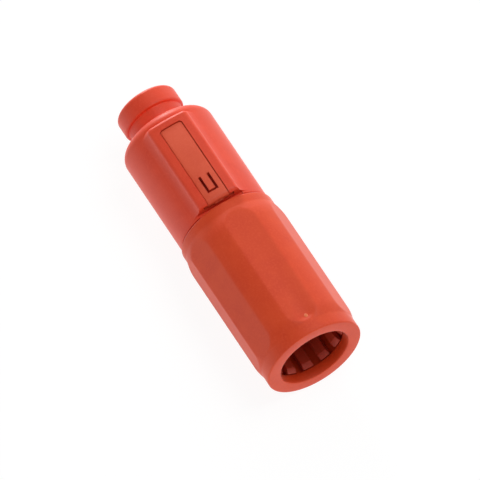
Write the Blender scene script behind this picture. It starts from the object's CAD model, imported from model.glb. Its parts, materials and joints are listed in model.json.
"""Coaxial cable plug, dressed: moulded housing, lock slide, turning grip sleeve and contacts.

The plug's axis runs along X with the mating end at +X, and it lies on one flat of the sleeve.
Sizes are in millimetres, measured from the axis, and turn into metres as a mesh is finished.
"""

import json
import logging
import math
from collections.abc import Callable, Sequence
from dataclasses import dataclass
from enum import Enum

import bmesh
import bpy
from bmesh.types import BMEdge, BMesh, BMVert
from mathutils import Matrix, Quaternion, Vector

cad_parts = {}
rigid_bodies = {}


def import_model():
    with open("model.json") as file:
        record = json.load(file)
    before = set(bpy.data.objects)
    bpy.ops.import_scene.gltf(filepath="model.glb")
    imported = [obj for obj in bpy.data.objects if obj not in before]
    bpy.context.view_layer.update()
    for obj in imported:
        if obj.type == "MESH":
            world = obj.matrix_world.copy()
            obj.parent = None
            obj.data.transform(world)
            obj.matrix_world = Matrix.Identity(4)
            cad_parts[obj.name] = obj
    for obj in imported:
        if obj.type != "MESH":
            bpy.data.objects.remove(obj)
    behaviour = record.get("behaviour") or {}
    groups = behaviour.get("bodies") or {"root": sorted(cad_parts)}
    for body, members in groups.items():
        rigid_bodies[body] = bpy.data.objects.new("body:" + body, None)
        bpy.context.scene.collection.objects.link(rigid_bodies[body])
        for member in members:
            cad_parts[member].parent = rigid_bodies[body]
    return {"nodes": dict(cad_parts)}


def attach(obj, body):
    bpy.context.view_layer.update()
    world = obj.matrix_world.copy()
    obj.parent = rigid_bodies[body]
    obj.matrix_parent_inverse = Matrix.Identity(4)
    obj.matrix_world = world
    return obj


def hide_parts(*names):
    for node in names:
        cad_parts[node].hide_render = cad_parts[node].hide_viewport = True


for item in list(bpy.data.objects):
    bpy.data.objects.remove(item, do_unlink=True)

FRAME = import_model()
LOG = logging.getLogger("plug")

MM = 0.001
# The plug lies on one flat of the grip, so its axis is this high above the floor.
AXIS_HEIGHT = 11.25
# The housing is turned about the axis, so that the boss leans towards the camera.
HOUSING_ROLL = math.radians(6.6)
X_AXIS = (1.0, 0.0, 0.0)
ORIGIN = (0.0, 0.0, 0.0)
# Two places within this many millimetres count as one.
TOUCH = 1e-4


class Body(Enum):
    """Rigid bodies that a piece can ride on."""

    HOUSING = "housing"
    COUPLING = "coupling"
    LOCK = "lock"


class Join(Enum):
    """Ways in which a Boolean joins another solid to a shape."""

    ADD = "UNION"
    CUT = "DIFFERENCE"


class Rounding(Enum):
    """What a bevel rounds."""

    EDGES = "EDGES"
    CORNERS = "VERTICES"


@dataclass(frozen=True)
class Corner:
    """Corner of a turned section, with the rounding that it gets."""

    x: float
    radius: float
    rounding: float = 0.0
    segments: int = 4


def smooth_min(a: float, b: float, blend: float) -> float:
    """Return the smaller value, rounded off where the two are within the blend."""
    near = max(blend - abs(a - b), 0.0) / blend
    return min(a, b) - near * near * blend / 4


def smooth_max(a: float, b: float, blend: float) -> float:
    """Return the larger value, filleted where the two are within the blend."""
    return -smooth_min(-a, -b, blend)


def round_off(
    shape: BMesh,
    geom: Sequence[BMEdge | BMVert],
    offset: float,
    segments: int,
    affect: Rounding = Rounding.EDGES,
) -> None:
    """Round edges or corners of a mesh.

    Args:
        shape: Mesh that is changed.
        geom: Edges or vertices to round.
        offset: Distance in millimetres from an edge to where its rounding starts.
        segments: Segments of the rounding.
        affect: Whether edges or corners are rounded.
    """
    bmesh.ops.bevel(
        shape,
        geom=geom,
        offset=offset,
        segments=segments,
        profile=0.5,
        affect=affect.value,
        material=-1,
    )


def draw_section(shape: BMesh, corners: Sequence[Corner]) -> None:
    """Draw a closed wire in the XY plane and round its corners.

    Args:
        shape: Empty mesh that receives the wire.
        corners: Corners in order round the section.
    """
    verts = [shape.verts.new((corner.x, corner.radius, 0.0)) for corner in corners]
    for i in range(len(verts)):
        shape.edges.new((verts[i - 1], verts[i]))
    points = [Vector((corner.x, corner.radius)) for corner in corners]
    for i, corner in enumerate(corners):
        if corner.rounding > 0.0:
            back = points[i - 1] - points[i]
            ahead = points[(i + 1) % len(points)] - points[i]
            reach = corner.rounding / math.tan(back.angle(ahead) / 2)
            round_off(shape, [verts[i]], reach, corner.segments, Rounding.CORNERS)


def refine(shape: BMesh, pitch: Callable[[float, float], float]) -> None:
    """Split the wire's edges until none is longer than the pitch at its middle.

    Args:
        shape: Mesh that holds the wire.
        pitch: Longest edge in millimetres for a given station and radius.
    """
    for edge in list(shape.edges):
        middle = (edge.verts[0].co + edge.verts[1].co) / 2
        cuts = math.ceil(edge.calc_length() / pitch(middle.x, middle.y)) - 1
        if cuts > 0:
            bmesh.ops.subdivide_edges(shape, edges=[edge], cuts=cuts)


def spin_wire(shape: BMesh, sectors: Sequence[tuple[float, int]], start: float = 0.0) -> None:
    """Spin the wire about X through sectors of different fineness.

    Args:
        shape: Mesh that holds only the wire.
        sectors: Angle in degrees and number of steps of each sector.
        start: Angle in degrees of the wire, from +Y towards +Z.
    """
    turn = Matrix.Rotation(math.radians(start), 3, "X")
    bmesh.ops.rotate(shape, verts=shape.verts, cent=ORIGIN, matrix=turn)
    geom = [*shape.verts, *shape.edges]
    for angle, steps in sectors:
        spun = bmesh.ops.spin(
            shape,
            geom=geom,
            cent=ORIGIN,
            axis=X_AXIS,
            angle=math.radians(angle),
            steps=steps,
        )
        geom = spun["geom_last"]
    bmesh.ops.remove_doubles(shape, verts=shape.verts, dist=TOUCH)


def turned(corners: Sequence[Corner], steps: int) -> BMesh:
    """Turn a rounded section through a full circle.

    Args:
        corners: Corners in order round the section.
        steps: Steps of the full circle.

    Returns:
        The turned mesh.
    """
    shape = bmesh.new()
    draw_section(shape, corners)
    spin_wire(shape, [(360.0, steps)])
    return shape


def block(
    low: Sequence[float], high: Sequence[float], rounding: float = 0.0, segments: int = 2
) -> BMesh:
    """Return a box between two corners with rounded edges.

    Args:
        low: Lowest corner in millimetres.
        high: Highest corner in millimetres.
        rounding: Edge rounding, or 0 for sharp edges.
        segments: Segments of the rounding.

    Returns:
        The box as a mesh.
    """
    shape = bmesh.new()
    middle = [(a + b) / 2 for a, b in zip(low, high)]
    size = [b - a for a, b in zip(low, high)]
    place = Matrix.Translation(middle) @ Matrix.Diagonal((*size, 1.0))
    bmesh.ops.create_cube(shape, size=1.0, matrix=place)
    if rounding > 0.0:
        round_off(shape, list(shape.edges), rounding, segments)
    return shape


def plate(
    rear: float, front: float, half: float, corner: float, low: float, high: float
) -> BMesh:
    """Return a flat plate along X whose two rear corners are rounded in plan.

    Args:
        rear: Station of the rear edge.
        front: Station of the front edge.
        half: Half of the width.
        corner: Radius of the rear corners.
        low: Height of the underside.
        high: Height of the top.

    Returns:
        The plate as a mesh.
    """
    shape = block((rear, -half, low), (front, half, high))
    upright = [
        edge
        for edge in shape.edges
        if all(vert.co.x < rear + TOUCH for vert in edge.verts)
        and abs(edge.verts[0].co.z - edge.verts[1].co.z) > TOUCH
    ]
    round_off(shape, upright, corner, segments=8)
    return shape


def combined(shape: BMesh, steps: Sequence[tuple[Join, BMesh]]) -> BMesh:
    """Return the shape after exact Booleans with other shapes, which are freed.

    Args:
        shape: Closed mesh to start from.
        steps: Way of joining and closed mesh of each step, in order.

    Returns:
        The resulting mesh.
    """
    helpers = []
    for solid in [shape, *(other for _, other in steps)]:
        bmesh.ops.recalc_face_normals(solid, faces=solid.faces)
        mesh = bpy.data.meshes.new("helper")
        solid.to_mesh(mesh)
        solid.free()
        helper = bpy.data.objects.new("helper", mesh)
        bpy.context.scene.collection.objects.link(helper)
        helpers.append(helper)
    for (join, _), helper in zip(steps, helpers[1:]):
        modifier = helpers[0].modifiers.new("step", "BOOLEAN")
        modifier.operation = join.value
        modifier.object = helper
        modifier.solver = "EXACT"
    graph = bpy.context.evaluated_depsgraph_get()
    result = bmesh.new()
    result.from_mesh(helpers[0].evaluated_get(graph).to_mesh())
    for helper in helpers:
        mesh = helper.data
        bpy.data.objects.remove(helper, do_unlink=True)
        bpy.data.meshes.remove(mesh)
    return result


def add_piece(
    shape: BMesh,
    name: str,
    body: Body,
    material: bpy.types.Material,
    nodes: Sequence[str] = (),
    sharp: float = 35.0,
) -> bpy.types.Object:
    """Turn a mesh in axis millimetres into a finished piece that rides on its body.

    Args:
        shape: Closed mesh; it is freed.
        name: Name of the piece.
        body: Body that it moves with.
        material: Its finish.
        nodes: Solids that the piece stands for.
        sharp: Angle in degrees from which an edge is shaded sharp.

    Returns:
        The new object.
    """
    roll = 0.0 if body is Body.COUPLING else HOUSING_ROLL
    place = Matrix.Translation((0.0, 0.0, AXIS_HEIGHT * MM)) @ Matrix.Rotation(roll, 4, "X")
    bmesh.ops.remove_doubles(shape, verts=shape.verts, dist=1e-5)
    bmesh.ops.recalc_face_normals(shape, faces=shape.faces)
    shape.transform(place @ Matrix.Scale(MM, 4))
    mesh = bpy.data.meshes.new(name)
    shape.to_mesh(mesh)
    shape.free()
    mesh.materials.append(material)
    mesh.shade_smooth()
    mesh.set_sharp_from_angle(angle=math.radians(sharp))
    piece = bpy.data.objects.new(name, mesh)
    bpy.context.scene.collection.objects.link(piece)
    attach(piece, body.value)
    if nodes:
        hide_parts(*nodes)
    LOG.info("%s: %d faces on %s", name, len(mesh.polygons), body.value)
    return piece


def linear(code: str) -> tuple[float, float, float, float]:
    """Turn an sRGB hex colour into linear RGBA by the sRGB curve.

    Args:
        code: Six hex digits.

    Returns:
        Linear red, green and blue, and an alpha of 1.
    """
    parts = [int(code[i : i + 2], 16) / 255 for i in (0, 2, 4)]
    values = [p / 12.92 if p <= 0.04045 else ((p + 0.055) / 1.055) ** 2.4 for p in parts]
    return (*values, 1.0)


def add_node(
    tree: bpy.types.NodeTree, kind: str, settings: dict | None = None, links: dict | None = None
) -> bpy.types.Node:
    """Add a shader node, set its properties and values, and link its inputs.

    Args:
        tree: Node tree that gets the node.
        kind: Type of the node.
        settings: Property names and input names or numbers with their values.
        links: Input names or numbers with the sockets that feed them.

    Returns:
        The new node.
    """
    node = tree.nodes.new(kind)
    for key, value in (settings or {}).items():
        if isinstance(key, str) and hasattr(node, key):
            setattr(node, key, value)
        else:
            node.inputs[key].default_value = value
    for key, socket in (links or {}).items():
        tree.links.new(socket, node.inputs[key])
    return node


def blank_tree(name: str) -> tuple[bpy.types.Material, bpy.types.NodeTree]:
    """Add a material with an empty node tree.

    Args:
        name: Name of the material.

    Returns:
        The material and its tree.
    """
    material = bpy.data.materials.new(name)
    material.use_nodes = True
    material.node_tree.nodes.clear()
    return material, material.node_tree


@dataclass(frozen=True)
class MouldedPlastic:
    """Moulded plastic: cloudy pigment, the fine grain of an eroded mould, soft gloss.

    Pigment never mixes quite evenly into the melt, which the eye takes as faint clouds and
    flecks. The mould's grain breaks reflections up, so the gloss is broad and soft.
    """

    name: str
    colour: str
    cloud: str
    fleck: str
    roughness: float
    # Nylon has about 1.53, and the object's weaker gloss asks for less.
    ior: float = 1.43
    # Clouds are about two walls of the moulding wide, 4 mm.
    cloud_mm: float = 4.0
    # Clumps of pigment are finer, perhaps 0.1 mm, drawn at 0.5 mm so that they show.
    fleck_mm: float = 0.5
    # The mould's grain is finer, perhaps 0.05 mm, drawn at 0.16 mm so that it shows.
    grain_mm: float = 0.16
    relief_mm: float = 0.012
    # A matt face looks paler where it turns away from the eye.
    bloom: float = 0.1
    bloom_roughness: float = 0.25
    # Flecks vary the gloss by this much either way.
    roughness_spread: float = 0.06

    def material(self) -> bpy.types.Material:
        """Make the finish as a procedural material.

        Returns:
            The new material.
        """
        material, tree = blank_tree(self.name)
        place = add_node(tree, "ShaderNodeTexCoord").outputs["Object"]
        cloud = add_node(
            tree,
            "ShaderNodeTexNoise",
            {"Scale": 1 / (self.cloud_mm * MM), "Detail": 4.0, "Roughness": 0.6},
            {"Vector": place},
        )
        fleck = add_node(
            tree,
            "ShaderNodeTexNoise",
            {"Scale": 1 / (self.fleck_mm * MM), "Detail": 2.0},
            {"Vector": place},
        )
        grain = add_node(
            tree,
            "ShaderNodeTexNoise",
            {"Scale": 1 / (self.grain_mm * MM), "Detail": 2.0, "Roughness": 0.55},
            {"Vector": place},
        )
        # The noise stays near its middle, which is stretched to mix the two colours fully.
        clouded = add_node(
            tree,
            "ShaderNodeMapRange",
            {"From Min": 0.35, "From Max": 0.65},
            {"Value": cloud.outputs["Fac"]},
        )
        # Only the noise's peaks become flecks, and even they are mixed in partly.
        flecked = add_node(
            tree,
            "ShaderNodeMapRange",
            {"From Min": 0.45, "From Max": 0.75, "To Max": 0.6},
            {"Value": fleck.outputs["Fac"]},
        )
        ground = add_node(
            tree,
            "ShaderNodeMix",
            {"data_type": "RGBA", 6: linear(self.colour), 7: linear(self.cloud)},
            {0: clouded.outputs["Result"]},
        )
        tinted = add_node(
            tree,
            "ShaderNodeMix",
            {"data_type": "RGBA", 7: linear(self.fleck)},
            {0: flecked.outputs["Result"], 6: ground.outputs[2]},
        )
        rough = add_node(
            tree,
            "ShaderNodeMapRange",
            {
                "To Min": self.roughness - self.roughness_spread,
                "To Max": self.roughness + self.roughness_spread,
            },
            {"Value": fleck.outputs["Fac"]},
        )
        bump = add_node(
            tree,
            "ShaderNodeBump",
            {"Strength": 0.5, "Distance": self.relief_mm * MM},
            {"Height": grain.outputs["Fac"]},
        )
        shader = add_node(
            tree,
            "ShaderNodeBsdfPrincipled",
            {
                "IOR": self.ior,
                "Sheen Weight": self.bloom,
                "Sheen Roughness": self.bloom_roughness,
            },
            {
                "Base Color": tinted.outputs[2],
                "Roughness": rough.outputs["Result"],
                "Normal": bump.outputs["Normal"],
            },
        )
        add_node(tree, "ShaderNodeOutputMaterial", None, {"Surface": shader.outputs["BSDF"]})
        return material


@dataclass(frozen=True)
class TurnedMetal:
    """Turned metal: fine rings left by the tool, faint stain, clean shine.

    The rings run round the axis, so the eye sees reflections drawn out along it.
    """

    name: str
    colour: str
    stain: str
    roughness: float
    # The tool is taken to move on by 0.12 mm a turn.
    ring_mm: float = 0.12
    relief_mm: float = 0.004
    # Patches of stain are some 2.5 mm wide.
    stain_mm: float = 2.5
    # Stained places are duller, and clean ones a little shinier.
    cleaner: float = 0.05
    duller: float = 0.12

    def material(self) -> bpy.types.Material:
        """Make the finish as a procedural material.

        Returns:
            The new material.
        """
        material, tree = blank_tree(self.name)
        place = add_node(tree, "ShaderNodeTexCoord").outputs["Object"]
        along = add_node(tree, "ShaderNodeSeparateXYZ", None, {"Vector": place})
        rings = add_node(
            tree,
            "ShaderNodeTexNoise",
            {"noise_dimensions": "1D", "Scale": 1 / (self.ring_mm * MM), "Detail": 1.0},
            {"W": along.outputs["X"]},
        )
        stain = add_node(
            tree,
            "ShaderNodeTexNoise",
            {"Scale": 1 / (self.stain_mm * MM), "Detail": 4.0},
            {"Vector": place},
        )
        tinted = add_node(
            tree,
            "ShaderNodeMix",
            {"data_type": "RGBA", 6: linear(self.colour), 7: linear(self.stain)},
            {0: stain.outputs["Fac"]},
        )
        rough = add_node(
            tree,
            "ShaderNodeMapRange",
            {
                "To Min": self.roughness - self.cleaner,
                "To Max": self.roughness + self.duller,
            },
            {"Value": stain.outputs["Fac"]},
        )
        bump = add_node(
            tree,
            "ShaderNodeBump",
            {"Strength": 0.4, "Distance": self.relief_mm * MM},
            {"Height": rings.outputs["Fac"]},
        )
        shader = add_node(
            tree,
            "ShaderNodeBsdfPrincipled",
            {"Metallic": 1.0},
            {
                "Base Color": tinted.outputs[2],
                "Roughness": rough.outputs["Result"],
                "Normal": bump.outputs["Normal"],
            },
        )
        add_node(tree, "ShaderNodeOutputMaterial", None, {"Surface": shader.outputs["BSDF"]})
        return material


# Nylon from an eroded mould: an even orange-red that pales where it turns away.
GRIP_NYLON = MouldedPlastic(
    "orange_red_nylon_moulded", "DE4515", "D83E10", "E34F24", 0.54, bloom=0.3
)
# Moulded nylon, judged only from the shaded mouth, where it looks a deeper red.
FINGER_NYLON = MouldedPlastic("deep_red_nylon_moulded", "B83921", "B0351E", "C04228", 0.5)
# Moulded nylon a little smoother than the grip: redder, with broad soft highlights.
HOUSING_NYLON = MouldedPlastic("red_nylon_moulded", "E44322", "DE3C1C", "E94E2F", 0.48)
# A small nylon moulding of its own: a slightly duller orange than its housing.
LOCK_NYLON = MouldedPlastic("dull_orange_nylon_moulded", "DF5432", "D94C2B", "E45D3E", 0.5)
# Nylon torn off at the mould's gate: whitened by strain, and rough.
GATE_NYLON = MouldedPlastic("stress_whitened_nylon_torn", "EB7B4C", "E67345", "F08C62", 0.6)
# Black moulded nylon: near black with a soft grey gloss.
BLACK_NYLON = MouldedPlastic("black_nylon_moulded", "2A2A2C", "232325", "343437", 0.5)
# Fluoropolymer turned from rod: waxy off-white, with a weak gloss and faint marks.
WHITE_FLUOROPOLYMER = MouldedPlastic(
    "white_fluoropolymer_turned",
    "E9E9E4",
    "E2E2DC",
    "F0F0EC",
    roughness=0.42,
    ior=1.38,
    cloud_mm=3.0,
    fleck_mm=0.4,
    grain_mm=0.2,
    relief_mm=0.006,
)
# Nitrile rubber pressed in a mould: black and matt.
BLACK_RUBBER = MouldedPlastic(
    "black_nitrile_rubber_moulded",
    "1E1E1F",
    "191919",
    "29292A",
    roughness=0.66,
    ior=1.5,
    cloud_mm=2.0,
    fleck_mm=0.3,
    grain_mm=0.1,
    relief_mm=0.01,
)
# Brass turned and plated with nickel: a warm grey shine over the tool's rings.
NICKEL = TurnedMetal("nickel_plated_brass_turned", "D6D2C8", "C3BEB2", 0.24)
# Brass turned and plated with gold: a smoother, yellow shine.
GOLD = TurnedMetal("gold_plated_brass_turned", "F2CF7E", "E2B963", 0.2)
# Stainless steel stamped from rolled sheet: a cool, duller grey.
STEEL = TurnedMetal("stainless_steel_stamped", "C6C7C9", "B3B4B7", 0.32)


@dataclass
class CouplingSleeve:
    """Grip with six wide flats and rounded ridges between them, drawn in at both ends."""

    rear: float = -1.315
    mouth: float = 35.245
    ridge_radius: float = 11.65
    apothem: float = 11.14
    # The ridges at the two sides keep within the width of the solids.
    side_apothem: float = 11.25
    flats: int = 6
    flat_blend: float = 0.12
    # The last of the ring stays round, and so does what lies this little over the collar.
    plain_length: float = 1.0
    cut_margin: float = 0.02
    collar_radius: float = 10.97
    collar_length: float = 2.2
    collar_round: float = 0.5
    taper_slope: float = 0.24
    taper_round: float = 11.0
    ring_radius: float = 11.13
    ring_foot_radius: float = 11.09
    ring_length: float = 2.95
    cone_slope: float = 0.33
    cone_round: float = 7.0
    # The mould's gate, on the flat that lies on top, in a sink that is longer to the rear.
    gate_station: float = 31.05
    gate_aside: float = 0.35
    sink_depth: float = 0.32
    sink_half: float = 2.7
    sink_rear: float = 4.6
    sink_front: float = 1.5
    # Only what is higher than this belongs to the top flat.
    sink_above: float = 10.0
    gate_height: float = 0.11
    gate_half: float = 0.5
    # The gate's stub is this share as wide as it is long.
    gate_slimness: float = 0.8
    face_round: float = 0.35
    bore_radius: float = 9.8
    step: float = 15.645
    cavity_radius: float = 9.3
    lip_length: float = 2.3
    mouth_radius: float = 8.1
    mouth_chamfer: float = 0.25
    columns: int = 480
    # Rings lie this far apart where the grip is shaped, and are left out where it is not.
    fine_pitch: float = 0.14
    coarse_pitch: float = 20.0
    # The rear collar and taper end this far from the rear.
    taper_reach: float = 8.0

    def section(self) -> list[Corner]:
        """Lay out the sleeve's turned section, before the flats are cut.

        Returns:
            Corners from the mouth's outer edge, over the outside and back through the bore.
        """
        foot = self.mouth - self.ring_length
        cone_run = (self.ridge_radius - self.ring_foot_radius) / self.cone_slope
        taper = self.rear + self.collar_length
        taper_run = (self.ridge_radius - self.collar_radius) / self.taper_slope
        lip = self.mouth - self.lip_length
        return [
            Corner(self.mouth, self.ring_radius, self.face_round, 5),
            Corner(foot, self.ring_foot_radius, 1.5, 4),
            Corner(foot - cone_run, self.ridge_radius, self.cone_round, 10),
            Corner(taper + taper_run, self.ridge_radius, self.taper_round, 10),
            Corner(taper, self.collar_radius, 1.5, 4),
            Corner(self.rear, self.collar_radius, self.collar_round, 5),
            Corner(self.rear, self.bore_radius, 0.25, 2),
            Corner(self.step, self.bore_radius),
            Corner(self.step, self.cavity_radius),
            Corner(lip, self.cavity_radius),
            Corner(lip, self.mouth_radius, 0.1, 2),
            Corner(self.mouth, self.mouth_radius, self.mouth_chamfer, 3),
        ]

    def pitch(self, x: float, radius: float) -> float:
        """Choose the ring spacing: fine where the grip is shaped and coarse elsewhere.

        Args:
            x: Station along the axis.
            radius: Distance from the axis.

        Returns:
            Largest spacing of the rings in millimetres.
        """
        if radius < self.collar_radius + 0.05:
            return self.coarse_pitch
        middle = self.rear + self.taper_reach < x < self.gate_station - self.sink_rear - 0.5
        plain = middle or x > self.mouth - self.ring_length
        return self.coarse_pitch if plain else self.fine_pitch

    def cut_radius(self, angle: float) -> float:
        """Find how far out the six flats' planes lie.

        Args:
            angle: Angle from up about the axis, in radians.

        Returns:
            Distance of the planes from the axis, blended where two meet.
        """
        pitch = math.tau / self.flats
        local = (angle + pitch / 2) % pitch - pitch / 2
        # The limit at the sides is held off where the surface faces up or down.
        aside = max(abs(math.sin(angle)), 0.5)
        return smooth_min(
            self.apothem / math.cos(local), self.side_apothem / aside, self.flat_blend
        )

    def sink(self, x: float, y: float) -> float:
        """Find the depth of the shallow sink round the gate on the top flat.

        Args:
            x: Station along the axis.
            y: Distance aside.

        Returns:
            Depth in millimetres, 0 outside the sink.
        """
        along = x - self.gate_station
        reach = self.sink_front if along > 0.0 else self.sink_rear
        away = min(math.hypot(along / reach, (y - self.gate_aside) / self.sink_half), 1.0)
        return self.sink_depth * (1 - away * away) ** 2

    def build_gate(self) -> None:
        """Build the stub that the moulding gate left, whitened where it broke off."""
        shape = bmesh.new()
        width = self.gate_slimness * self.gate_half
        size = Matrix.Diagonal((self.gate_half, width, self.gate_height, 1.0))
        foot = Vector((self.gate_station, self.gate_aside, self.apothem - self.sink_depth))
        bmesh.ops.create_icosphere(
            shape, subdivisions=3, radius=1.0, matrix=Matrix.Translation(foot) @ size
        )
        add_piece(shape, "gate_stub", Body.COUPLING, GATE_NYLON.material())

    def build(self) -> None:
        """Build the grip sleeve."""
        shape = bmesh.new()
        draw_section(shape, self.section())
        refine(shape, self.pitch)
        spin_wire(shape, [(360.0, self.columns)])
        for vert in shape.verts:
            radius = math.hypot(vert.co.y, vert.co.z)
            raised = radius > self.collar_radius + self.cut_margin
            if raised and vert.co.x < self.mouth - self.plain_length:
                angle = math.atan2(vert.co.y, vert.co.z)
                cut = smooth_min(radius, self.cut_radius(angle), self.flat_blend)
                share = cut / radius
                vert.co.y *= share
                vert.co.z *= share
                if vert.co.z > self.sink_above:
                    vert.co.z -= self.sink(vert.co.x, vert.co.y)
        add_piece(
            shape,
            "grip_sleeve",
            Body.COUPLING,
            GRIP_NYLON.material(),
            ["coupling_sleeve"],
        )


@dataclass
class FingerRing:
    """Ring of twelve spring fingers that snap over the mating thread."""

    flange: float = 14.295
    flange_length: float = 1.15
    flange_radius: float = 9.68
    tube_inner: float = 8.15
    tube_outer: float = 9.1
    root: float = 20.745
    ramp: float = 21.945
    bead: float = 24.145
    tip: float = 32.745
    grip_radius: float = 7.4
    thickness: float = 1.1
    chamfer: float = 0.55
    count: int = 12
    slot_width: float = 1.75
    # The slots have their width this far outside the fingers' inner faces.
    slot_depth: float = 0.5
    edge_round: float = 0.12
    # Edges that turn by more degrees than this are rounded.
    hard_angle: float = 24.0
    # The tube runs this far into the fingers' roots.
    overlap: float = 0.1

    def ring(self) -> BMesh:
        """Turn the flange and the tube that carry the fingers.

        Returns:
            The ring as a mesh.
        """
        front = self.flange + self.flange_length
        root = self.root + self.overlap
        return turned(
            [
                Corner(self.flange, self.tube_inner),
                Corner(root, self.tube_inner),
                Corner(root, self.tube_outer),
                Corner(front, self.tube_outer, 0.3, 3),
                Corner(front, self.flange_radius),
                Corner(self.flange, self.flange_radius),
            ],
            192,
        )

    def finger(self) -> BMesh:
        """Spin one finger's section through its width and round its edges.

        Returns:
            The finger as a mesh, pointing up.
        """
        outer = self.grip_radius + self.thickness
        shape = bmesh.new()
        draw_section(
            shape,
            [
                Corner(self.root, self.tube_inner),
                Corner(self.ramp, self.tube_inner, 1.5, 3),
                Corner(self.bead, self.grip_radius, 1.5, 3),
                Corner(self.tip - 2 * self.chamfer, self.grip_radius, 0.3, 2),
                Corner(self.tip, self.grip_radius + self.chamfer),
                Corner(self.tip, outer),
                Corner(self.bead, outer, 1.5, 3),
                Corner(self.ramp, self.tube_outer, 1.5, 3),
                Corner(self.root, self.tube_outer),
            ],
        )
        face = bmesh.ops.contextual_create(shape, geom=list(shape.edges))["faces"]
        at = self.grip_radius + self.slot_depth
        half = math.pi / self.count - self.slot_width / 2 / at
        start = Matrix.Rotation(math.pi / 2 - half, 3, "X")
        bmesh.ops.rotate(shape, verts=shape.verts, cent=ORIGIN, matrix=start)
        bmesh.ops.spin(
            shape,
            geom=[*shape.verts, *shape.edges, *face],
            cent=ORIGIN,
            axis=X_AXIS,
            angle=2 * half,
            steps=8,
        )
        bmesh.ops.recalc_face_normals(shape, faces=shape.faces)
        limit = math.radians(self.hard_angle)
        hard = [edge for edge in shape.edges if edge.calc_face_angle(0.0) > limit]
        round_off(shape, hard, self.edge_round, segments=2)
        return shape

    def build(self) -> None:
        """Build the ring and its fingers as one piece."""
        shape = self.ring()
        finger = self.finger()
        mesh = bpy.data.meshes.new("finger")
        for _ in range(self.count):
            turn = Matrix.Rotation(math.tau / self.count, 3, "X")
            bmesh.ops.rotate(finger, verts=finger.verts, cent=ORIGIN, matrix=turn)
            finger.to_mesh(mesh)
            shape.from_mesh(mesh)
        finger.free()
        bpy.data.meshes.remove(mesh)
        add_piece(
            shape,
            "snap_finger_ring",
            Body.COUPLING,
            FINGER_NYLON.material(),
            ["finger_ring"],
        )


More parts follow.
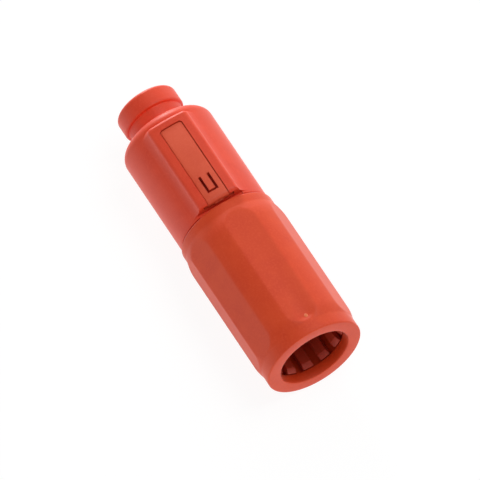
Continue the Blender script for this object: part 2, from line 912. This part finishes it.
@dataclass
class Boss:
    """Raised land along the housing: crowned top, concave sides, rounded rear corners."""

    front: float = -2.205
    rear: float = -24.525
    half: float = 4.85
    top: float = 11.6
    top_round: float = 0.95
    front_round: float = 0.95
    pocket_half: float = 5.3
    pocket_depth: float = 1.7
    corner: float = 1.1
    barrel: float = 10.52
    flank_angle: float = math.radians(10.0)
    foot_angle: float = math.radians(39.5)
    # Radius of the top's slight crown.
    crown: float = 26.0
    # The boss is drawn out of the barrel within this angle of up, and its foot blends in.
    reach_angle: float = math.radians(44.0)
    foot_blend: float = 0.06
    # Steps of the side's section, over the top edge and down the flank.
    edge_steps: int = 8
    flank_steps: int = 12
    # Outside its foot the side goes on down this steeply, to end below the barrel.
    fall: float = 2.0
    # Halvings of a 7 mm range that find the boss's surface along a ray.
    tries: int = 22

    def levels(self) -> list[tuple[float, float]]:
        """Lay out the side's section, from the top edge to the foot.

        Returns:
            Points as distance outside the top outline and height above the axis.
        """
        foot = Vector((math.sin(self.foot_angle), math.cos(self.foot_angle))) * self.barrel
        end = math.pi / 2 - self.flank_angle
        inset = self.half - self.top_round
        start = math.asin(inset / (self.crown - self.top_round))
        drop = self.crown - (self.crown - self.top_round) * math.cos(start)
        centre = Vector((inset, self.top - drop))
        flank = centre + Vector((math.sin(end), math.cos(end))) * self.top_round
        foot_way = Vector((-math.cos(self.foot_angle), math.sin(self.foot_angle)))
        flank_way = Vector((-math.sin(self.flank_angle), math.cos(self.flank_angle)))
        reach = (flank - foot).cross(flank_way) / foot_way.cross(flank_way)
        bend = foot + foot_way * reach
        points = []
        for i in range(self.edge_steps + 1):
            turn = start + (end - start) * i / self.edge_steps
            point = centre + Vector((math.sin(turn), math.cos(turn))) * self.top_round
            points.append((point.x - self.half, point.y))
        # A parabola runs from the flank into the barrel, tangent to both.
        for i in range(self.flank_steps + 1):
            t = i / self.flank_steps
            point = flank * (1 - t) ** 2 + bend * 2 * t * (1 - t) + foot * t * t
            points.append((point.x - self.half, point.y))
        return points

    def sag(self, y: float) -> float:
        """Return how far the crowned top lies lower at a distance from its middle."""
        return self.crown - math.sqrt(self.crown**2 - y * y)

    def height(self, spread: float, levels: Sequence[tuple[float, float]]) -> float:
        """Find the height of the side.

        Args:
            spread: Distance outside the top outline, in plan.
            levels: The side's section.

        Returns:
            Height above the axis.
        """
        if spread <= levels[0][0]:
            return levels[0][1]
        for (near, high), (far, low) in zip(levels, levels[1:]):
            if spread <= far:
                return high + (low - high) * (spread - near) / (far - near)
        return levels[-1][1] - self.fall * (spread - levels[-1][0])

    def spread(self, x: float, y: float) -> float:
        """Find how far a point lies outside the top outline, in plan.

        Args:
            x: Station along the axis.
            y: Distance aside.

        Returns:
            Distance in millimetres, negative inside the outline.
        """
        beyond = self.rear + self.corner - x
        aside = abs(y) - self.half + self.corner
        if beyond <= 0.0:
            return aside - self.corner
        if aside <= 0.0:
            return beyond - self.corner
        return math.hypot(beyond, aside) - self.corner

    def crest(self, x: float) -> float:
        """Find the height of the top, which rounds down at the front.

        Args:
            x: Station along the axis.

        Returns:
            Height above the axis at the top's middle.
        """
        beyond = max(x - self.front + self.front_round, 0.0)
        drop = self.front_round - math.sqrt(max(self.front_round**2 - beyond**2, 0.0))
        return self.top - drop

    def radius(self, x: float, angle: float, levels: Sequence[tuple[float, float]]) -> float:
        """Find the boss's distance from the axis, by halving along a ray.

        Args:
            x: Station along the axis.
            angle: Angle of the ray from up, in radians.
            levels: The side's section.

        Returns:
            Distance in millimetres, less than the barrel's where there is no boss.
        """
        low, high = self.barrel - 4.0, self.barrel + 3.0
        crest = self.crest(x)
        edge = self.half + levels[0][0]
        for _ in range(self.tries):
            middle = (low + high) / 2
            aside = middle * math.sin(angle)
            sag = self.sag(min(abs(aside), edge))
            side = self.height(self.spread(x, aside), levels) + self.sag(edge) - sag
            if middle * math.cos(angle) > min(side, crest - sag):
                high = middle
            else:
                low = middle
        return (low + high) / 2


@dataclass
class RearHousing:
    """Moulded barrel with the boss, its T-slot, the lock slide and the gland nut."""

    boss: Boss
    rear: float = -27.225
    barrel_front: float = -1.565
    shoulder_round: float = 2.3
    bore: float = 5.6
    inner: float = 7.4
    wall: float = -24.825
    pocket: float = 6.435
    pocket_radius: float = 8.55
    spigot_front: float = 9.135
    spigot_radius: float = 9.6
    # Two rings this far apart carry the boss's upright front face.
    face_step: float = 0.004
    # Spin of the barrel as degrees and steps: fine over the boss and coarse elsewhere.
    spin_start: float = 45.0
    boss_sector: tuple[float, int] = (90.0, 220)
    plain_sector: tuple[float, int] = (270.0, 135)
    fine_pitch: float = 0.07
    coarse_pitch: float = 8.0
    slide_length: float = 20.1
    slide_half: float = 2.43
    # The slide's plate is this much wider on the near side, and half as much on the far one.
    slide_aside: float = 0.1
    slide_top: float = 11.48
    slide_floor: float = 9.73
    slide_corner: float = 0.5
    slide_edge: float = 0.1
    # Lengthwise cuts this far apart let the slide's top follow the boss's crown.
    crown_cut: float = 0.6
    flange_half: float = 3.43
    flange_thickness: float = 0.8
    nose_half: float = 1.05
    nose_root: float = 0.9
    nose_reach: float = 0.1
    # The U-shaped cut that frees the latch tongue: its two legs and its cross bar.
    cut_legs: tuple[tuple[float, float], ...] = ((-1.25, -0.66), (0.75, 1.34))
    cut_setback: float = 2.17
    cut_length: float = 4.3
    cut_bar: float = 0.5
    # It goes right through the slide, between these heights.
    cut_low: float = 8.0
    cut_high: float = 12.0
    seam: float = 0.2
    slot_corner: float = 0.7
    # The slot's upper edge is broken by a chamfer of this size.
    slot_lead: float = 0.16
    # Cutters end at this height, clear of the boss.
    above: float = 13.0
    nut_rear: float = -35.245
    nut_head_front: float = -30.915
    nut_head_radius: float = 6.95
    nut_neck_radius: float = 6.25
    nut_shank_radius: float = 5.45
    nut_shank_front: float = -17.82
    cable_bore: float = 4.2
    # The nut's neck stands this far behind the housing.
    nut_gap: float = 0.2

    def section(self) -> list[Corner]:
        """Lay out the barrel's turned section, without the boss.

        Returns:
            Corners from the spigot's front edge, over the outside and back through the bore.
        """
        boss_face = self.boss.front
        barrel = self.boss.barrel
        return [
            Corner(self.spigot_front, self.spigot_radius, 0.25, 2),
            Corner(self.barrel_front, self.spigot_radius),
            Corner(self.barrel_front, barrel, 0.15, 3),
            Corner(boss_face + self.face_step, barrel),
            Corner(boss_face, barrel),
            Corner(boss_face - self.boss.front_round, barrel),
            Corner(self.boss.rear + 0.9, barrel),
            Corner(self.rear, barrel, self.shoulder_round, 26),
            Corner(self.rear, self.bore, 0.2, 2),
            Corner(self.wall, self.bore),
            Corner(self.wall, self.inner),
            Corner(self.pocket, self.inner),
            Corner(self.pocket, self.pocket_radius),
            Corner(self.spigot_front, self.pocket_radius),
        ]

    def pitch(self, x: float, radius: float) -> float:
        """Choose the ring spacing: fine where the boss ends and coarse elsewhere.

        Args:
            x: Station along the axis.
            radius: Distance from the axis.

        Returns:
            Largest spacing of the rings in millimetres.
        """
        at_rear = radius > self.boss.barrel - 0.4 and x < self.boss.rear + 1.6
        at_front = self.boss.front - self.boss.front_round < x < self.boss.front
        fine = at_rear or (at_front and radius > self.inner + 0.1)
        return self.fine_pitch if fine else self.coarse_pitch

    def barrel(self) -> BMesh:
        """Spin the barrel and draw the boss out of it.

        Returns:
            The barrel as a mesh, without its slot.
        """
        shape = bmesh.new()
        draw_section(shape, self.section())
        refine(shape, self.pitch)
        spin_wire(shape, [self.boss_sector, self.plain_sector], self.spin_start)
        levels = self.boss.levels()
        for vert in shape.verts:
            radius = math.hypot(vert.co.y, vert.co.z)
            angle = math.atan2(vert.co.y, vert.co.z)
            behind_face = vert.co.x < self.boss.front + self.face_step / 4
            on_boss = abs(angle) < self.boss.reach_angle and behind_face
            # The bore lies deeper than this and stays round.
            if on_boss and radius > self.boss.barrel - 1.5:
                raised = self.boss.radius(vert.co.x, angle, levels)
                share = smooth_max(radius, raised, self.boss.foot_blend) / radius
                vert.co.y *= share
                vert.co.z *= share
        return shape

    def slot_cutters(self) -> list[tuple[Join, BMesh]]:
        """Make the cutters of the T-slot: opening, broken edge, channel and pocket.

        Returns:
            Steps for combined().
        """
        rear = self.boss.front - self.slide_length - self.seam
        front = self.barrel_front + 0.3
        half = self.slide_half + self.seam
        floor = self.slide_floor - self.seam
        corner, lead, top = self.slot_corner, self.slot_lead, self.boss.top
        opening = plate(rear, front, half, corner, floor, self.above)
        broken = plate(rear, front, half, corner, top - lead, top + lead)
        for vert in broken.verts:
            if vert.co.z > top:
                vert.co.x -= 2 * lead if vert.co.x < rear + 1.0 else 0.0
                vert.co.y += math.copysign(2 * lead, vert.co.y)
        channel_half = self.flange_half + self.seam
        roof = self.slide_floor + self.flange_thickness + self.seam
        channel = block((rear, -channel_half, floor), (front, channel_half, roof))
        pocket_half = self.boss.pocket_half
        pocket_floor = self.boss.barrel - self.boss.pocket_depth
        pocket = block(
            (self.boss.front, -pocket_half, pocket_floor), (front, pocket_half, self.above)
        )
        return [(Join.CUT, cutter) for cutter in (opening, broken, channel, pocket)]

    def build_barrel(self) -> None:
        """Build the housing barrel with its boss and slot."""
        add_piece(
            combined(self.barrel(), self.slot_cutters()),
            "housing_barrel",
            Body.HOUSING,
            HOUSING_NYLON.material(),
            ["rear_housing"],
        )

    def slide_plate(self, lower: float) -> BMesh:
        """Make the slide's plate, with its rounded front end and crowned top.

        Args:
            lower: Height of the plate's underside, inside the flange.

        Returns:
            The plate as a mesh.
        """
        front, top = self.boss.front, self.slide_top
        rear = front - self.slide_length
        shape = plate(rear, front, self.slide_half, self.slide_corner, lower, top)
        for vert in shape.verts:
            vert.co.y -= self.slide_aside if vert.co.y < 0.0 else -self.slide_aside / 2
        for i in range(-3, 4):
            bmesh.ops.bisect_plane(
                shape,
                geom=[*shape.verts, *shape.edges, *shape.faces],
                plane_co=(0.0, self.crown_cut * i, 0.0),
                plane_no=(0.0, 1.0, 0.0),
            )
        lead_edge = [
            edge
            for edge in shape.edges
            if all(v.co.x > front - TOUCH and v.co.z > top - TOUCH for v in edge.verts)
        ]
        round_off(shape, lead_edge, self.boss.front_round, segments=12)
        rim = [
            edge
            for edge in shape.edges
            if edge.calc_face_angle(0.0) > math.radians(40)
            and all(v.co.z > lower + 0.02 for v in edge.verts)
        ]
        round_off(shape, rim, self.slide_edge, segments=3)
        # The top follows the crown, and the foot stays flat inside the flange.
        for vert in shape.verts:
            if vert.co.z > lower + self.seam:
                vert.co.z -= self.boss.sag(vert.co.y)
        return shape

    def tongue_cutters(self) -> list[tuple[Join, BMesh]]:
        """Make the cutters of the U-shaped cut round the latch tongue.

        Returns:
            Steps for combined().
        """
        front = self.boss.front - self.cut_setback
        rear = front - self.cut_length
        spans = [(rear, low, high) for low, high in self.cut_legs]
        spans.append((front - self.cut_bar, self.cut_legs[0][0], self.cut_legs[-1][1]))
        return [
            (Join.CUT, block((start, low, self.cut_low), (front, high, self.cut_high)))
            for start, low, high in spans
        ]

    def build_slide(self) -> None:
        """Build the lock slide from its plate, its wider foot, its nose and its cut."""
        front = self.boss.front
        rear = front - self.slide_length
        flange_top = self.slide_floor + self.flange_thickness
        lower = flange_top - self.flange_thickness / 2
        flange = block(
            (rear + self.seam, -self.flange_half, self.slide_floor),
            (front - self.seam, self.flange_half, flange_top),
            0.1,
        )
        nose = block(
            (front - self.nose_root, -self.nose_half, self.slide_floor + self.seam),
            (front + self.nose_reach, self.nose_half, lower + self.seam),
            0.08,
        )
        steps = [(Join.ADD, flange), (Join.ADD, nose), *self.tongue_cutters()]
        add_piece(
            combined(self.slide_plate(lower), steps),
            "slide_lock",
            Body.LOCK,
            LOCK_NYLON.material(),
            ["lock_slide"],
        )

    def build_nut(self) -> None:
        """Build the gland nut with its neck and end flange."""
        neck_front = self.rear - self.nut_gap
        shape = turned(
            [
                Corner(self.nut_shank_front, self.nut_shank_radius, 0.25, 2),
                Corner(neck_front, self.nut_shank_radius),
                Corner(neck_front, self.nut_neck_radius, 0.15, 2),
                Corner(self.nut_head_front, self.nut_neck_radius, 0.25, 4),
                Corner(self.nut_head_front, self.nut_head_radius, 0.5, 8),
                Corner(self.nut_rear, self.nut_head_radius, 0.9, 10),
                Corner(self.nut_rear, self.cable_bore, 0.5, 5),
                Corner(self.nut_shank_front, self.cable_bore),
            ],
            256,
        )
        add_piece(
            shape,
            "gland_nut",
            Body.HOUSING,
            HOUSING_NYLON.material(),
            ["back_nut"],
        )


class Inside:
    """Contacts, seals and gland parts that keep their solids and get their finish."""

    FINISHES: dict[str, MouldedPlastic | TurnedMetal] = {
        "connector_body": NICKEL,
        "contact_body": NICKEL,
        "contact_lock_nut": NICKEL,
        "centre_contact": GOLD,
        "rear_insulator": WHITE_FLUOROPOLYMER,
        "front_insulator": WHITE_FLUOROPOLYMER,
        "crimp_ferrule": STEEL,
        "rear_washer": STEEL,
        "front_washer": STEEL,
        "thrust_washer": STEEL,
        "retaining_ring": STEEL,
        "contact_o_ring": BLACK_RUBBER,
        "housing_o_ring": BLACK_RUBBER,
        "sleeve_seal": BLACK_RUBBER,
        "interface_gasket": BLACK_RUBBER,
        "cable_seal": BLACK_RUBBER,
        "cable_clamp": BLACK_NYLON,
        "bearing_bush": BLACK_NYLON,
    }

    def dress(self) -> None:
        """Give every kept solid its procedural finish."""
        finishes = dict.fromkeys(self.FINISHES.values())
        made = {finish: finish.material() for finish in finishes}
        for name, finish in self.FINISHES.items():
            mesh = FRAME["nodes"][name].data
            mesh.materials.clear()
            mesh.materials.append(made[finish])
            LOG.info("%s: %s", name, finish.name)


def way_to(azimuth: float, elevation: float) -> Vector:
    """Find the way from the object to a place round it.

    Args:
        azimuth: Side in degrees, from -Y towards +X.
        elevation: Height above the horizon in degrees.

    Returns:
        Unit vector away from the object.
    """
    turn, rise = math.radians(azimuth), math.radians(elevation)
    return Vector(
        (math.sin(turn) * math.cos(rise), -math.cos(turn) * math.cos(rise), math.sin(rise))
    )


@dataclass
class Studio:
    """Pale floor, soft light and the camera at the photograph's angle."""

    azimuth: float = 60.0
    elevation: float = 59.5
    # The photograph shows no perspective, so the lens is very long.
    frame_width: float = 100.0
    lens: float = 1500.0
    sensor: float = 36.0
    aim: tuple[float, float, float] = (2.875, 0.0, AXIS_HEIGHT)
    aim_right: float = 0.735
    aim_up: float = 0.281
    tilt: float = -0.16
    # Strength of the light from all round, where white is 1.
    fill: float = 0.37
    # Gloss sees the world brighten from the near side to the far one, along the way's Y.
    near_side: float = 0.2
    far_side: float = 2.9
    side_from: float = -0.6
    side_to: float = 0.5
    # That light fades out between these heights, along the way's Z.
    fade_from: float = 0.35
    fade_to: float = 0.8
    floor_glow: float = 0.92
    # The floor's colour as the object sees it and as the camera does.
    floor_bounce: float = 0.4
    floor_seen: float = 0.11
    lamp_distance: float = 0.6

    def add_camera(self) -> None:
        """Add the camera with a long lens, framed as the photograph is."""
        back = way_to(self.azimuth, self.elevation)
        data = bpy.data.cameras.new("camera")
        data.lens = self.lens
        data.sensor_width = self.sensor
        camera = bpy.data.objects.new("camera", data)
        bpy.context.scene.collection.objects.link(camera)
        tilt = Quaternion((0.0, 0.0, 1.0), math.radians(self.tilt))
        turn = (-back).to_track_quat("-Z", "Y") @ tilt
        right, up = turn @ Vector(X_AXIS), turn @ Vector((0.0, 1.0, 0.0))
        target = Vector(self.aim) + right * self.aim_right + up * self.aim_up
        distance = self.frame_width * self.lens / self.sensor
        camera.rotation_mode = "QUATERNION"
        camera.rotation_quaternion = turn
        camera.location = (target + back * distance) * MM
        data.clip_start = 0.01
        data.clip_end = 20.0
        bpy.context.scene.camera = camera

    def add_world(self) -> None:
        """Light evenly from all round, with plain white for the camera and clear pieces.

        Gloss sees a low band that is brightest on the far side, like a wide soft light
        there, and overhead only the even light, which keeps the top from washing out.
        """
        world = bpy.data.worlds.new("studio")
        bpy.context.scene.world = world
        world.use_nodes = True
        tree = world.node_tree
        tree.nodes.clear()
        path = add_node(tree, "ShaderNodeLightPath")
        way = add_node(tree, "ShaderNodeTexCoord").outputs["Generated"]
        rise = add_node(tree, "ShaderNodeSeparateXYZ", None, {"Vector": way})
        horizon = add_node(
            tree,
            "ShaderNodeMapRange",
            {
                "From Min": self.fade_from,
                "From Max": self.fade_to,
                "To Min": 1.0,
                "To Max": 0.0,
            },
            {"Value": rise.outputs["Z"]},
        )
        lit_side = add_node(
            tree,
            "ShaderNodeMapRange",
            {
                "From Min": self.side_from,
                "From Max": self.side_to,
                "To Min": self.near_side,
                "To Max": self.far_side,
            },
            {"Value": rise.outputs["Y"]},
        )
        low = add_node(
            tree,
            "ShaderNodeMath",
            {"operation": "MULTIPLY"},
            {0: horizon.outputs["Result"], 1: lit_side.outputs["Result"]},
        )
        gloss = add_node(
            tree,
            "ShaderNodeMath",
            {"operation": "MULTIPLY"},
            {0: path.outputs["Is Glossy Ray"], 1: low.outputs[0]},
        )
        plain = add_node(
            tree,
            "ShaderNodeMath",
            {"operation": "MAXIMUM"},
            {0: path.outputs["Is Camera Ray"], 1: path.outputs["Is Transmission Ray"]},
        )
        seen = add_node(
            tree,
            "ShaderNodeMath",
            {"operation": "MAXIMUM"},
            {0: plain.outputs[0], 1: gloss.outputs[0]},
        )
        # Not clamped, because the bright side's strength lies above 1.
        strength = add_node(
            tree,
            "ShaderNodeMapRange",
            {"clamp": False, "To Min": self.fill, "To Max": 1.0},
            {"Value": seen.outputs[0]},
        )
        back = add_node(
            tree,
            "ShaderNodeBackground",
            {"Color": (1.0, 1.0, 1.0, 1.0)},
            {"Strength": strength.outputs["Result"]},
        )
        add_node(tree, "ShaderNodeOutputWorld", None, {"Surface": back.outputs[0]})

    def add_floor(self) -> None:
        """Add the pale floor that fades to white and keeps a faint shadow."""
        shape = bmesh.new()
        bmesh.ops.create_grid(shape, x_segments=1, y_segments=1, size=1.5)
        mesh = bpy.data.meshes.new("floor")
        shape.to_mesh(mesh)
        shape.free()
        floor = bpy.data.objects.new("floor", mesh)
        bpy.context.scene.collection.objects.link(floor)
        material, tree = blank_tree("pale_paper_sweep")
        path = add_node(tree, "ShaderNodeLightPath")
        share = add_node(
            tree,
            "ShaderNodeMapRange",
            {"To Min": self.floor_bounce, "To Max": self.floor_seen},
            {"Value": path.outputs["Is Camera Ray"]},
        )
        shade = add_node(tree, "ShaderNodeBsdfDiffuse", None, {"Color": share.outputs["Result"]})
        glow = add_node(tree, "ShaderNodeEmission", {"Strength": self.floor_glow})
        pale = add_node(
            tree, "ShaderNodeAddShader", None, {0: shade.outputs[0], 1: glow.outputs[0]}
        )
        add_node(tree, "ShaderNodeOutputMaterial", None, {"Surface": pale.outputs[0]})
        mesh.materials.append(material)

    def add_lamp(
        self, name: str, azimuth: float, elevation: float, size: float, watts: float
    ) -> None:
        """Add a soft square lamp that faces the object.

        Args:
            name: Name of the lamp.
            azimuth: Its side, in degrees, as for the camera.
            elevation: Its height above the horizon, in degrees.
            size: Side of the square in metres.
            watts: Power.
        """
        back = way_to(azimuth, elevation)
        data = bpy.data.lights.new(name, "AREA")
        data.shape = "SQUARE"
        data.size = size
        data.energy = watts
        lamp = bpy.data.objects.new(name, data)
        bpy.context.scene.collection.objects.link(lamp)
        lamp.location = back * self.lamp_distance
        lamp.rotation_mode = "QUATERNION"
        lamp.rotation_quaternion = back.to_track_quat("Z", "Y")

    def build(self) -> None:
        """Set up the world, floor, lamps and camera."""
        bpy.context.scene.view_settings.view_transform = "Standard"
        self.add_world()
        self.add_floor()
        # The main light falls steeply from the far side, and a low one rakes forward from
        # the cable end, which picks out the tapers and the boss's rear.
        self.add_lamp("key_right", 168.0, 69.0, 0.3, 1.4)
        self.add_lamp("rear_rake", 258.0, 10.5, 0.15, 2.1)
        self.add_camera()


def main() -> None:
    """Build the plug, dress it and set up the studio."""
    logging.basicConfig(level=logging.INFO, format="%(message)s")
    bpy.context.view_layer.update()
    sleeve = CouplingSleeve()
    sleeve.build()
    sleeve.build_gate()
    FingerRing().build()
    housing = RearHousing(Boss())
    housing.build_barrel()
    housing.build_slide()
    housing.build_nut()
    Inside().dress()
    Studio().build()


if __name__ == "__main__":
    main()
